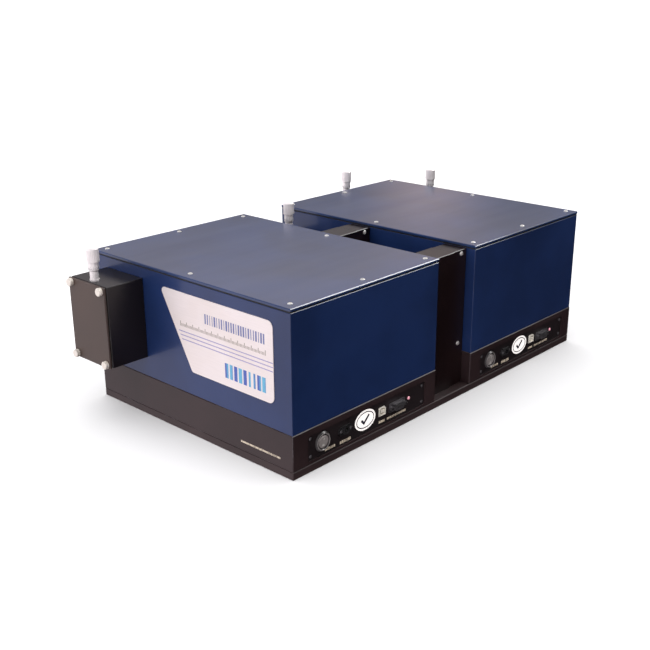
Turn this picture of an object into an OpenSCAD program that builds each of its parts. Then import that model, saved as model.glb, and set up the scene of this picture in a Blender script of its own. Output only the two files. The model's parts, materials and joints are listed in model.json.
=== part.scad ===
// Double grating spectroscope: two identical grating units bolted in line on one base plate,
// with screw-driven slits where light enters, passes between the units and leaves.
// X runs across the table, Y along the base plate (entrance slit at -Y), Z up.
// The origin is at the centre of the bounding box's underside.

/* [Housings] */
// Length of one unit along its optical path
unit_w = 350; // [340:1:380]
// Depth of one unit, front wall to back wall
unit_d = 257; // [250:1:280]
// Height of the lids above the table
unit_h = 200; // [198:1:210]
// Clear space between the two units
unit_gap = 76; // [70:1:90]
// Height of the seam between tray and cover
seam_z = 54; // [54:1:58]
// Thickness of the common base plate
plate_t = 10; // [8:1:12]
// Thickness of a lid
lid_t = 3.6; // [3:0.2:5]
// Wall thickness of a cover
cover_wall = 3; // [2:0.5:4]
// Wall thickness of a tray
tray_wall = 6; // [5:0.5:7]
// How far the cover walls stand in from the tray and lid edges
cover_inset = 0.6; // [0.4:0.1:1]
// Chamfer on the housing's outside edges
edge_chamfer = 0.8; // [0.4:0.1:1.2]

/* [Coupling posts] */
// Width of a post
post_w = 36; // [34:1:44]
// Height of a post's top above the table
post_top = 195; // [185:1:196]
// Distance from the left side to the centre of the left post
left_post_x = 157.5; // [130:0.5:170]
// Distance from the left side to the centre of the right post
right_post_x = 319.5; // [290:0.5:320]

/* [Slits] */
// Width of a slit box
slit_w = 72; // [70:1:76]
// Height of a slit box
slit_h = 102; // [98:1:108]
// Depth of the entrance slit box
entrance_depth = 51.8; // [48:0.1:56]
// Depth of the two exit slit boxes
exit_depth = 46; // [42:1:52]
// Height of the optical axis above the table
axis_z = 131; // [128:1:136]
// Distance from the left side to the entrance slit
entrance_x = 63; // [60:1:72]
// Distance from the left side to the middle and rear slits
exit_x = 56; // [52:1:64]
// Full opening of a slit
slit_travel = 3; // [1:0.5:3]
// Slit opening at the zero mark
slit_zero_gap = 0.3; // [0.3:0.05:0.6]
// Diameter of the thimble's grip
grip_d = 15.5; // [14:0.5:17]
// Diameter of the thimble's graduated barrel
barrel_d = 13; // [12.5:0.25:13.5]
// Diameter of the micrometer sleeve
sleeve_d = 10.5; // [10:0.25:11]

/* [Optics] */
// Diameter of the concave mirrors
mirror_d = 64; // [56:2:70]
// Distance of the two beam lines from the unit's front and back walls
beam_y = 70; // [66:1:74]
// Distance from the left side to the turret's axis
turret_x = 118; // [112:1:124]
// Width of a grating
grating_w = 60; // [50:1:62]
// Height of a grating
grating_h = 64; // [50:1:66]
// Number of teeth on the worm wheel
wheel_teeth = 60; // [48:4:72]

/* [Control panel] */
// Length of the panel
panel_l = 212; // [206:1:216]
// Height of the panel
panel_h = 32; // [31:0.5:34]
// Tilt of the power rocker in its off position
rocker_tilt = 8; // [5:1:10]

/* [Hidden] */

eps = 0.01;
$fn = 48;

// Housing, derived
pair_l = 2 * unit_d + unit_gap;
lid_z = unit_h - lid_t;
tray_floor = 3;
bench_t = 8;
bench_z = seam_z - bench_t;
bench_gap = 0.2;
screw_inset = 12.5;
lug_w = 19.5;
groove_h = 1.6;
groove_deep = 1;
lug_h = 20;
port_r = 14;
screw_hole_r = 1.7;

// Sizes of the parts that reach furthest out
thumb_l = 5;
dust_t = 3;
gasket_t = 1.2;
socket_reach = 4;
front_reach = entrance_depth + gasket_t + dust_t + thumb_l;
x_shift = -(unit_w + socket_reach - exit_depth) / 2;
y_shift = -(pair_l + exit_depth - front_reach) / 2;

// Slits, derived
entrance_face_t = 5.5;
exit_face_t = 6.5;
face_to_mic = 3.3;
slit_cavity_w = 54;
slit_cavity_h = 82;
slit_bore_r = 13;
middle_w = 60;
middle_h = 70;
middle_mic_y = 36.6;
entrance_mic = -entrance_depth - cover_inset + entrance_face_t + face_to_mic;
exit_mic = -exit_depth - cover_inset + exit_face_t + face_to_mic;
mic_bottom = 63;
sleeve_top = 79;
barrel_l = 11;
thimble_l = 28;
spindle_r = 2;
run_gap = 0.08;
part_gap = 0.3;
rod_end = 28;
wedge_h = 10;
wedge_top_w = 12;
wedge_slope = 0.5;
wedge_t = 6;
pin_r = 1.5;
pin_z = 22.7;
blade_t = 1.2;
blade_w = 20;
blade_h = 30;
blade_y = 4;
corner_x = 30;
corner_z = 46;
thumb_r = 5;

// Optics, derived
mirror_x = 300;
mirror_t = 10;
turret_y = unit_d / 2;
table_z = 90;
table_t = 6;
wheel_z = 30;
wheel_t = 8;
wheel_r = 36;
shaft_r = 8;
bush_r = 11;
column_in = grating_w / 2 / tan(60) + 0.2;
motor_x = turret_x + 28;
worm_r = 5;
worm_y = turret_y - wheel_r - worm_r - part_gap;
swing_offset = 19;
swing_at = [exit_x + swing_offset, unit_d - beam_y - swing_offset];
swing_pin_r = 4;

// Control panel, derived
panel_t = 2.5;
panel_recess = 1.6;
panel_y = 24;
panel_z = 13.5;
panel_face = unit_w - panel_recess;
switch_at = [49, 30.5];
jack_at = [87, 31.5];
usb_at = [153.2, 32];
serial_at = [181.5, 30.5];
light_at = [204.7, 32];
bezel_r = 12.2;
rocker_r = 7.8;
rocker_pin_r = 1.2;
panel_screw_inset = 5.2;
jack_screw_x = 8;
jack_flange_t = 1.5;
jack_nut_x = 12.5;

// Colours
black_coat = [0.1, 0.09, 0.09];
dark_coat = [0.15, 0.15, 0.16];
slit_coat = [0.16, 0.14, 0.13];
blue_paint = [0.07, 0.1, 0.25];
lid_paint = [0.2, 0.23, 0.36];
bright_steel = [0.8, 0.8, 0.8];
dull_steel = [0.6, 0.6, 0.6];
brass = [0.8, 0.65, 0.3];
mirror_glass = [0.85, 0.87, 0.9];
rocker_grey = [0.7, 0.68, 0.66];

// ---------- places ----------

// Everything is drawn from the front unit's front left corner
module place() {
  translate([x_shift, y_shift, 0]) children();
}

// Unit 0 is the front one, unit 1 the rear one
module unit(i) {
  place() translate([0, i * (unit_d + unit_gap), 0]) children();
}

// Slit frames: outward is -Y, Z up, origin on the optical axis at the cover's wall
module at_entrance() {
  place() translate([entrance_x, cover_inset, axis_z]) children();
}
module at_middle() {
  place() translate([exit_x, unit_d - cover_inset, axis_z]) rotate(180) children();
}
module at_side() {
  place() translate([cover_inset, pair_l - beam_y, axis_z]) rotate(-90) children();
}
module at_rear() {
  place() translate([exit_x, pair_l - cover_inset, axis_z]) rotate(180) children();
}

// ---------- shapes that repeat ----------

// Rectangle with its corners cut off
module cut_rect(w, d, c) {
  polygon([[c, 0], [w - c, 0], [w, c], [w, d - c], [w - c, d], [c, d], [0, d - c], [0, c]]);
}

// Box with every edge chamfered
module bevel_box(s, c) {
  intersection() {
    linear_extrude(s.z) cut_rect(s.x, s.y, c);
    translate([0, s.y, 0]) rotate([90, 0, 0]) linear_extrude(s.y) cut_rect(s.x, s.z, c);
    rotate([90, 0, 90]) linear_extrude(s.x) cut_rect(s.y, s.z, c);
  }
}

// Rectangle with round corners, lower left corner at the origin
module round_rect(w, d, r) {
  translate([r, 0]) square([w - 2 * r, d]);
  translate([0, r]) square([w, d - 2 * r]);
  for (x = [r, w - r], y = [r, d - r]) translate([x, y]) circle(r);
}

// Pan-head screw pointing down, underside of the head at z = 0, with a cross recess
module screw(head_r, head_h, shank_r, shank_l) {
  slot_w = head_r * 0.3;
  slot_l = head_r * 1.2;
  difference() {
    union() {
      rotate_extrude() intersection() {
        translate([0, head_h - head_r * 1.5]) circle(head_r * 1.5);
        square([head_r, head_h]);
      }
      translate([0, 0, -shank_l]) cylinder(r = shank_r, h = shank_l + eps);
    }
    for (a = [0, 90]) rotate(a) translate([-slot_l / 2, -slot_w / 2, head_h * 0.45])
      cube([slot_l, slot_w, head_h]);
  }
}

// Turns a Z-up child to face +X
module face_x() {
  rotate([0, 90, 0]) children();
}

// Turns a Z-up child to face -Y
module face_front() {
  rotate([90, 0, 0]) children();
}

// Positions of the eight lid screws
module lid_points() {
  for (x = [screw_inset, unit_w / 2, unit_w - screw_inset], y = [screw_inset, unit_d - screw_inset])
    translate([x, y, 0]) children();
  for (x = [screw_inset, unit_w - screw_inset]) translate([x, unit_d / 2, 0]) children();
}

// Positions of the four corner screws on a slit box's face
module slit_corners() {
  for (x = [-corner_x, corner_x], z = [-corner_z, corner_z]) translate([x, 0, z]) children();
}

// Positions of the two screws in a post's side, at the side's height along Y
module post_points() {
  for (z = [68.5, 190]) translate([0, unit_d + 64.5, z]) children();
}

// ---------- housings ----------

module base_plate() {
  bolt_x = 300;
  bolt_y = 540;
  bolt_r = 3;
  bolt_deep = 8;
  color(black_coat) place() difference() {
    bevel_box([unit_w, pair_l, plate_t], edge_chamfer);
    for (x = [-1, 1], y = [-1, 1])
      translate([unit_w / 2 + x * bolt_x / 2, pair_l / 2 + y * bolt_y / 2, -eps])
        cylinder(r = bolt_r, h = bolt_deep + eps);
  }
}

module tray() {
  h = seam_z - plate_t;
  boss_r = 7;
  ledge = 4;
  translate([0, 0, plate_t]) difference() {
    bevel_box([unit_w, unit_d, h], edge_chamfer);
    translate([tray_wall, tray_wall, tray_floor])
      cube([unit_w - 2 * tray_wall, unit_d - 2 * tray_wall, h]);
    // Pocket and window for the control panel
    translate([unit_w - panel_recess - panel_t - 0.1, panel_y, panel_z - plate_t])
      rotate([90, 0, 90]) linear_extrude(tray_wall) round_rect(panel_l, panel_h, 4);
    translate([unit_w - tray_wall - 1, panel_y + 10, panel_z - plate_t + ledge])
      cube([tray_wall + 2, panel_l - 20, panel_h - 2 * ledge]);
    translate([0, 0, -plate_t]) panel_corners() cylinder(r = 1.3, h = 2 * tray_wall + 2, center = true);
  }
  // Bosses that carry the optical bench
  for (x = [20, unit_w / 2, unit_w - 20], y = [20, unit_d - 20])
    translate([x, y, plate_t + tray_floor - eps])
      difference() {
        cylinder(r = boss_r, h = bench_z - plate_t - tray_floor + eps);
        translate([0, 0, 12]) cylinder(r = 2, h = bench_z);
      }
}

module optical_bench(swing) {
  g = tray_wall + bench_gap;
  difference() {
    translate([g, g, bench_z]) cube([unit_w - 2 * g, unit_d - 2 * g, bench_t]);
    translate([turret_x, turret_y, bench_z - 1]) cylinder(r = bush_r, h = bench_t + 2);
  }
  if (swing) translate([swing_at.x, swing_at.y, seam_z - eps]) cylinder(r = swing_pin_r, h = 104);
}

module cover(entrance, exit, side) {
  w = unit_w - 2 * cover_inset;
  d = unit_d - 2 * cover_inset;
  h = lid_z - seam_z;
  difference() {
    union() {
      difference() {
        union() {
          translate([cover_inset, cover_inset, seam_z]) bevel_box([w, d, h - groove_h], 0.4);
          translate([cover_inset + groove_deep, cover_inset + groove_deep, seam_z + 1])
            cube([w - 2 * groove_deep, d - 2 * groove_deep, h - 1]);
        }
        translate([cover_inset + cover_wall, cover_inset + cover_wall, seam_z - 1])
          cube([w - 2 * cover_wall, d - 2 * cover_wall, h + 2]);
      }
      // Lugs that take the lid screws
      translate([0, 0, lid_z - lug_h]) intersection() {
        translate([cover_inset + 2, cover_inset + 2, 0]) cube([w - 4, d - 4, lug_h - eps]);
        lid_points() translate([-lug_w / 2, -lug_w / 2, 0]) cube([lug_w, lug_w, lug_h]);
      }
    }
    lid_points() translate([0, 0, lid_z - 14]) cylinder(r = screw_hole_r, h = 20);
    translate([entrance, 0, axis_z]) face_front() cylinder(r = port_r, h = 60, center = true);
    translate([exit, unit_d, axis_z]) face_front() cylinder(r = port_r, h = 60, center = true);
    if (side) translate([0, unit_d - beam_y, axis_z]) face_x()
      cylinder(r = port_r, h = 60, center = true);
  }
}

module lid() {
  difference() {
    translate([0, 0, lid_z]) bevel_box([unit_w, unit_d, lid_t], edge_chamfer);
    lid_points() translate([0, 0, lid_z - 1]) cylinder(r = screw_hole_r + 0.2, h = lid_t + 2);
  }
}

// Stepped box column that ties the two units together at the back of one and front of the other
module post(x) {
  front_l = 48;
  step = 1.2;
  wall = 4;
  h = post_top - plate_t;
  difference() {
    translate([x - post_w / 2, unit_d, plate_t]) {
      bevel_box([post_w, front_l, h], 0.6);
      translate([step, front_l - 1, 0]) bevel_box([post_w - 2 * step, unit_gap - front_l + 1, h], 0.6);
    }
    translate([x - post_w / 2 + wall + step, unit_d + wall, plate_t - 1])
      cube([post_w - 2 * (wall + step), unit_gap - 2 * wall, h - wall + 1]);
    translate([x, 0, 0]) post_points() face_x()
      cylinder(r = screw_hole_r, h = post_w + 2, center = true);
  }
}

// ---------- slits ----------

// Box with its face at -depth, open towards the unit's wall
module slit_box(depth, face_t) {
  mic_y = -depth + face_t + face_to_mic;
  difference() {
    translate([-slit_w / 2, -depth, -slit_h / 2]) bevel_box([slit_w, depth, slit_h], 0.7);
    difference() {
      translate([-slit_cavity_w / 2, -depth + face_t, -slit_cavity_h / 2])
        cube([slit_cavity_w, depth, slit_cavity_h]);
      blade_rails(mic_y);
    }
    translate([0, -depth + 8, 0]) face_front() cylinder(r = slit_bore_r, h = 20);
    translate([0, mic_y, slit_cavity_h / 2 - 1]) cylinder(r = spindle_r + 0.6, h = 20);
    slit_corners() translate([0, -depth + 14, 0]) face_front() cylinder(r = 2, h = 20);
  }
}

// Two rails behind the blades
module blade_rails(mic_y) {
  for (z = [-14, 10]) translate([-slit_w / 2, mic_y + blade_y + blade_t + part_gap, z])
    cube([slit_w, 3, 4]);
}

// Light-tight box between the two units
module middle_box() {
  depth = unit_gap + 2 * cover_inset;
  wall = 4;
  difference() {
    translate([-middle_w / 2, -depth, -middle_h / 2]) bevel_box([middle_w, depth, middle_h], 0.7);
    difference() {
      translate([-middle_w / 2 + wall, -depth - 1, -middle_h / 2 + wall])
        cube([middle_w - 2 * wall, depth + 2, middle_h - 2 * wall]);
      blade_rails(-middle_mic_y);
    }
    translate([0, -middle_mic_y, middle_h / 2 - wall - 1]) cylinder(r = spindle_r + 0.6, h = 20);
  }
}

// Fixed sleeve of a micrometer, standing on a box whose top is at z = base
module sleeve(mic_y, base) {
  ring_r = sleeve_d / 2 + 0.6;
  translate([0, mic_y, 0]) rotate_extrude() difference() {
    union() {
      translate([0, base]) square([sleeve_d / 2, sleeve_top - base]);
      translate([0, base]) square([ring_r, 2]);
    }
    translate([-eps, base - 1]) square([spindle_r + run_gap, sleeve_top]);
  }
}

// Thimble with its spindle: graduated barrel, ribbed grip and a rod down to the wedge
module thimble(mic_y, lowered) {
  barrel_r = barrel_d / 2;
  grip_r = grip_d / 2;
  bore_r = sleeve_d / 2 + run_gap;
  ribs = 24;
  translate([0, mic_y, -lowered]) difference() {
    rotate_extrude() polygon([
      [0, rod_end], [spindle_r, rod_end], [spindle_r, mic_bottom + 20], [bore_r, mic_bottom + 20],
      [bore_r, mic_bottom], [barrel_r - 0.7, mic_bottom], [barrel_r, mic_bottom + 1.6],
      [barrel_r, mic_bottom + barrel_l], [grip_r - 0.5, mic_bottom + barrel_l],
      [grip_r, mic_bottom + barrel_l + 0.5], [grip_r, mic_bottom + thimble_l - 1.2],
      [grip_r - 1.2, mic_bottom + thimble_l], [0, mic_bottom + thimble_l]]);
    for (a = [0 : 360 / ribs : 359]) rotate(a) translate([grip_r + 0.35, 0, mic_bottom + barrel_l + 2])
      cylinder(r = 0.7, h = thimble_l - barrel_l - 4.5, $fn = 16);
  }
}

// Wedge that the spindle presses down between the two blade pins
module wedge(mic_y, lowered) {
  top = rod_end - part_gap;
  half = wedge_top_w / 2;
  tip = half - wedge_h * wedge_slope;
  translate([0, mic_y + wedge_t / 2, -lowered]) face_front() linear_extrude(wedge_t)
    polygon([[-tip, top - wedge_h], [tip, top - wedge_h], [half, top], [-half, top]]);
}

// One blade with its arm and pin; side is 1 or -1
module blade(mic_y, lowered, side) {
  pin_reach = (pin_r + part_gap) * sqrt(1 + wedge_slope * wedge_slope);
  pin_x = wedge_top_w / 2 - (rod_end - part_gap - pin_z) * wedge_slope + pin_reach;
  back = mic_y + blade_y;
  edge = slit_zero_gap / 2;
  translate([side * lowered * wedge_slope, 0, 0]) {
    // Blade with a knife edge towards the slit, and the arm
    intersection() {
      translate([side > 0 ? edge : -edge - blade_w, back, -blade_h / 2])
        cube([blade_w, blade_t, blade_h]);
      translate([0, 0, -blade_h]) linear_extrude(2 * blade_h) polygon([
        [side * edge, back + blade_t], [side * (edge + blade_w), back + blade_t],
        [side * (edge + blade_w), back], [side * (edge + 1), back]]);
    }
    translate([side * pin_x - 3, back, blade_h / 2 - 1]) cube([6, blade_t, pin_z + 4 - blade_h / 2]);
    translate([side * pin_x, back + eps, pin_z]) face_front() cylinder(r = pin_r, h = blade_y + 2.9);
  }
}

module dust_plate() {
  translate([-slit_w / 2, -entrance_depth - cover_inset - gasket_t - dust_t, -slit_h / 2])
    difference() {
      union() {
        bevel_box([slit_w, dust_t, slit_h], 0.6);
        translate([2, dust_t - eps, 2]) cube([slit_w - 4, gasket_t + eps, slit_h - 4]);
      }
      translate([slit_w / 2, dust_t + gasket_t + 1, slit_h / 2]) slit_corners() face_front()
        cylinder(r = 2.2, h = 20);
    }
}

// Knurled thumbscrew facing -Y, underside of the head at y = 0
module thumbscrew() {
  ribs = 18;
  face_front() difference() {
    union() {
      rotate_extrude() polygon([[0, 0], [thumb_r - 0.4, 0], [thumb_r, 0.4], [thumb_r, thumb_l - 0.8],
        [thumb_r - 0.8, thumb_l], [0, thumb_l]]);
      translate([0, 0, -14]) cylinder(r = 1.9, h = 14 + eps);
    }
    for (a = [0 : 360 / ribs : 359]) rotate(a) translate([thumb_r + 0.25, 0, 1.4])
      cylinder(r = 0.5, h = thumb_l - 3, $fn = 16);
  }
}

// ---------- optics ----------

module turret() {
  top_z = table_z + table_t + grating_h + 3;
  translate([turret_x, turret_y, 0]) {
    rotate_extrude() polygon([
      [0, wheel_z - 8], [shaft_r, wheel_z - 8], [shaft_r, seam_z + part_gap],
      [18, seam_z + part_gap], [18, table_z], [46, table_z], [46, table_z + table_t],
      [0, table_z + table_t]]);
    translate([0, 0, table_z + table_t - eps]) 
      cylinder(r = 2 * column_in, h = top_z - table_z - table_t, $fn = 3);
    translate([0, 0, top_z - eps]) cylinder(r = 44, h = 3);
  }
}

// Flanged bush that carries the turret's shaft in the bench
module turret_bush() {
  flange_r = 14;
  flange_t = 2;
  bore = shaft_r + run_gap;
  translate([turret_x, turret_y, 0]) rotate_extrude() polygon([
    [bore, bench_z - flange_t], [flange_r, bench_z - flange_t], [flange_r, bench_z],
    [bush_r, bench_z], [bush_r, seam_z], [bore, seam_z]]);
}

module gratings() {
  seat = column_in + 0.05;
  thick = 10;
  translate([turret_x, turret_y, table_z + table_t + 1]) for (a = [60, 180, 300]) rotate(a)
    translate([seat, -grating_w / 2, 0]) bevel_box([thick, grating_w, grating_h], 0.5);
}

module worm_wheel() {
  tooth_h = 1.6;
  pitch = 360 / wheel_teeth;
  translate([turret_x, turret_y, wheel_z]) linear_extrude(wheel_t) difference() {
    union() {
      circle(wheel_r - tooth_h);
      for (i = [0 : wheel_teeth - 1]) rotate(i * pitch)
        polygon([[wheel_r - tooth_h - 1, -1.1], [wheel_r, -0.55], [wheel_r, 0.55],
          [wheel_r - tooth_h - 1, 1.1]]);
    }
    circle(shaft_r + 0.02);
    for (a = [0 : 60 : 300]) rotate(a) translate([21, 0]) circle(6);
  }
}

// Worm and its shaft, along X beside the wheel
module worm() {
  rings = 9;
  step = 2.2;
  translate([turret_x - rings * step / 2, worm_y, wheel_z + wheel_t / 2]) face_x() rotate_extrude()
    union() {
      square([worm_r - 1.5, rings * step]);
      for (i = [0 : rings - 1]) translate([0, i * step])
        polygon([[0, 0.2], [worm_r - 1.5, 0.2], [worm_r, 0.8], [worm_r, 1.4], [worm_r - 1.5, 2], [0, 2]]);
      translate([0, -8]) square([2, rings * step + 36]);
    }
}

module turret_motor() {
  size = 28;
  length = 36;
  translate([motor_x, worm_y, wheel_z + wheel_t / 2]) difference() {
    translate([0, -size / 2, -size / 2 - 3]) bevel_box([length, size, size], 2);
    translate([-1, 0, 0]) face_x() cylinder(r = 2 + run_gap, h = 22);
  }
}

// Front-surface concave mirror facing -X
module concave_mirror(y) {
  curve_r = 700;
  rings = 8;
  edge_r = mirror_d / 2;
  function hollow(r) = sqrt(curve_r * curve_r - r * r) - sqrt(curve_r * curve_r - edge_r * edge_r);
  translate([mirror_x, y, axis_z]) face_x() rotate_extrude() polygon(concat(
    [for (i = [0 : rings]) [edge_r * i / rings, hollow(edge_r * i / rings)]],
    [[edge_r, mirror_t], [0, mirror_t]]));
}

module mirror_mount(y) {
  back = mirror_x + mirror_t;
  top = axis_z + mirror_d / 2 + 6;
  w = mirror_d + 12;
  translate([back, y - w / 2, seam_z]) bevel_box([8, w, top - seam_z], 1);
  translate([back + 8, y - w / 2, seam_z]) cube([16, w, 8]);
  for (a = [90, 210, 330]) translate([back + 8, y, axis_z]) rotate([a, 0, 0]) translate([-eps, 0, 24])
    face_x() cylinder(r = 4, h = 9);
}

// Flat mirror whose reflecting side faces direction a, centred on its face
module flat_mirror(x, y, a) {
  translate([x, y, axis_z - 23]) rotate(a) translate([-6, -20, 0]) bevel_box([6, 40, 46], 0.4);
}

module flat_mount(x, y, a) {
  translate([x, y, seam_z]) rotate(a) translate([-6.02, 0, 0]) {
    translate([-7, -18, 0]) bevel_box([7, 36, axis_z + 20 - seam_z], 0.8);
    translate([-22, -18, 0]) cube([16, 36, 6]);
  }
}

// Holder that swings on the bench's pin, with an arm behind the mirror
module swing_arm() {
  mid = [exit_x, unit_d - beam_y];
  pivot_y = swing_offset * sqrt(2);
  translate([mid.x, mid.y, 0]) rotate(45) translate([-6.02, 0, 0]) {
    difference() {
      union() {
        translate([-6, -pivot_y, axis_z - 26]) bevel_box([6, pivot_y + 20, 52], 0.6);
        translate([6.02, -pivot_y, axis_z - 40]) cylinder(r = 6.5, h = 66);
        translate([-4, -pivot_y, axis_z - 26]) cube([8, 6, 52]);
      }
      translate([6.02, -pivot_y, 0]) cylinder(r = swing_pin_r + run_gap, h = unit_h);
    }
  }
}

// ---------- control panel ----------

// Moves a child to a point [y, z] on the panel's outer face, facing +X, its own X along +Y
module on_panel(p) {
  translate([panel_face, p.x, p.y]) rotate([90, 0, 90]) children();
}

// Positions of the panel's four corner screws
module panel_corners() {
  for (y = [panel_screw_inset, panel_l - panel_screw_inset])
    for (z = [panel_screw_inset, panel_h - panel_screw_inset])
      on_panel([panel_y + y, panel_z + z]) children();
}

module control_panel() {
  difference() {
    translate([panel_face - panel_t, panel_y + 0.2, panel_z + 0.2]) rotate([90, 0, 90])
      linear_extrude(panel_t) round_rect(panel_l - 0.4, panel_h - 0.4, 4);
    on_panel(switch_at) translate([0, 0, -5]) cylinder(r = 10.3, h = 10);
    on_panel(jack_at) translate([0, 0, -5]) cylinder(r = 5.6, h = 10);
    on_panel(usb_at) translate([-6.2, -5.7, -5]) cube([12.4, 11.4, 10]);
    on_panel(serial_at) translate([-10.4, -5.2, -5]) cube([20.8, 10.4, 10]);
    on_panel(light_at) translate([0, 0, -5]) cylinder(r = 1.6, h = 10);
    panel_corners() translate([0, 0, -5]) cylinder(r = 1.6, h = 10);
    for (dx = [-jack_screw_x, jack_screw_x]) on_panel(jack_at + [dx, 0]) translate([0, 0, -5])
      cylinder(r = 1.3, h = 10);
    for (dx = [-jack_nut_x, jack_nut_x]) on_panel(serial_at + [dx, 0]) translate([0, 0, -5])
      cylinder(r = 1.6, h = 10);
  }
}

module switch_bezel() {
  inner = rocker_r + 0.4;
  difference() {
    rotate_extrude() polygon([
      [inner, -12], [10.2, -12], [10.2, 0], [bezel_r, 0], [bezel_r, 0.8], [bezel_r - 1.4, 2.4],
      [inner + 0.6, 2.4], [inner, 1.8]]);
    face_x() cylinder(r = rocker_pin_r + run_gap, h = 2 * (rocker_r + 1.9), center = true);
  }
}

// Round rocker on two pivot pins, tilted about them
module rocker() {
  depth = 5.6;
  rotate([rocker_tilt, 0, 0]) {
    intersection() {
      sphere(r = rocker_r);
      rotate([90, 0, 90]) linear_extrude(2 * rocker_r, center = true) polygon([
        [-rocker_r, -depth], [rocker_r, -depth], [rocker_r, 2.2], [0, 0.6 + rocker_pin_r],
        [-rocker_r, 2.2]]);
    }
    face_x() cylinder(r = rocker_pin_r, h = 2 * (rocker_r + 1.5), center = true);
  }
}

// Round jack with a centre pin, on a flange with two ears
module power_jack() {
  ears = [-jack_screw_x, jack_screw_x];
  difference() {
    union() {
      linear_extrude(jack_flange_t) difference() {
        union() {
          square([16, 11], center = true);
          for (x = ears) translate([x, 0]) circle(4);
        }
        for (x = ears) translate([x, 0]) circle(1.3);
      }
      translate([0, 0, -10]) cylinder(r = 5.4, h = 10 + eps);
      cylinder(r = 5.4, h = 3);
    }
    translate([0, 0, -8]) cylinder(r = 3.2, h = 20);
  }
  translate([0, 0, -8 - eps]) cylinder(r = 1, h = 10);
}

module usb_socket() {
  translate([0, 0, -12]) difference() {
    linear_extrude(13.2) polygon([[-6, -5.5], [6, -5.5], [6, 3.5], [4, 5.5], [-4, 5.5], [-6, 3.5]]);
    translate([0, 0, 2]) linear_extrude(20) difference() {
      polygon([[-4.4, -4.3], [4.4, -4.3], [4.4, 2.6], [3, 4.2], [-3, 4.2], [-4.4, 2.6]]);
      translate([-2.8, -1.6]) square([5.6, 3.2]);
    }
  }
}

// Nine-way socket in a D-shaped shell, with two jack nuts
module serial_socket() {
  shell_h = panel_recess + socket_reach;
  pitch = 2.75;
  row = 1.42;
  nuts = [-jack_nut_x, jack_nut_x];
  difference() {
    union() {
      linear_extrude(0.9) difference() {
        translate([-15.4, -6.25]) round_rect(30.8, 12.5, 1.5);
        for (x = nuts) translate([x, 0]) circle(1.55);
      }
      translate([0, 0, -9]) linear_extrude(9 + eps) square([19, 10], center = true);
      linear_extrude(shell_h) polygon([[-8.4, 4.1], [8.4, 4.1], [7, -4.1], [-7, -4.1]]);
    }
    for (i = [-2 : 2]) translate([i * pitch, row, shell_h - 5]) cylinder(r = 0.55, h = 6, $fn = 16);
    for (i = [-1.5 : 1.5]) translate([i * pitch, -row, shell_h - 5]) cylinder(r = 0.55, h = 6, $fn = 16);
  }
  for (x = nuts) translate([x, 0, 0]) difference() {
    union() {
      translate([0, 0, 0.9]) cylinder(r = 2.7, h = 4, $fn = 6);
      translate([0, 0, -6]) cylinder(r = 1.45, h = 7);
    }
    translate([0, 0, 0.9]) cylinder(r = 1.25, h = 5);
  }
}

module status_light() {
  translate([0, 0, -4]) cylinder(r = 1.5, h = 4 + eps);
  intersection() {
    translate([0, 0, -1]) sphere(r = 2.4);
    cylinder(r = 3, h = 3);
  }
}

module circuit_board() {
  z = plate_t + tray_floor + 4;
  translate([190, 60, z]) cube([120, 140, 1.6]);
  for (x = [200, 300], y = [70, 190]) translate([x, y, plate_t + tray_floor])
    cylinder(r = 3, h = 4 + eps);
  translate([200, 90, z + 1.6 - eps]) cube([22, 22, 3]);
  translate([240, 120, z + 1.6 - eps]) cube([14, 30, 4]);
  for (y = [80 : 16 : 128]) translate([285, y, z + 1.6 - eps]) cylinder(r = 5, h = 14);
  translate([262, 160, z + 1.6 - eps]) cube([30, 24, 8]);
}

// ---------- screws and plate ----------

module unit_screws() {
  lid_points() translate([0, 0, unit_h]) screw(3, 1.7, 1.6, 12);
}

module panel_screw_set() {
  panel_corners() screw(2.1, 1.2, 1.2, 5);
  for (dx = [-jack_screw_x, jack_screw_x]) on_panel(jack_at + [dx, 0]) translate([0, 0, jack_flange_t])
    screw(2, 1.1, 1.1, 6);
}

// Plate with a slanted left end and round corners
module maker_plate() {
  right_r = 8;
  left_r = 5;
  right = 323;
  top = 180;
  bottom = 84;
  left_top = 136;
  left_bottom = 185;
  thick = 0.8;
  translate([0, cover_inset, 0]) face_front() linear_extrude(thick) hull() {
    translate([left_top + left_r, top - left_r]) circle(left_r, $fn = 32);
    translate([left_bottom + 0.6 * left_r, bottom + left_r]) circle(left_r, $fn = 32);
    translate([right - right_r, top - right_r]) circle(right_r, $fn = 32);
    translate([right - right_r, bottom + right_r]) circle(right_r, $fn = 32);
  }
}

// ---------- nodes ----------

module front_tray() { color(black_coat) unit(0) tray(); }
module rear_tray() { color(black_coat) unit(1) tray(); }
module optical_benches() {
  color(dark_coat) {
    unit(0) optical_bench(false);
    unit(1) optical_bench(true);
  }
}
module front_cover() { color(blue_paint) unit(0) cover(entrance_x, exit_x, false); }
module rear_cover() { color(blue_paint) unit(1) cover(exit_x, exit_x, true); }
module front_lid() { color(lid_paint) unit(0) lid(); }
module rear_lid() { color(lid_paint) unit(1) lid(); }
module left_post() { color(black_coat) place() post(left_post_x); }
module right_post() { color(black_coat) place() post(right_post_x); }

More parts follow.
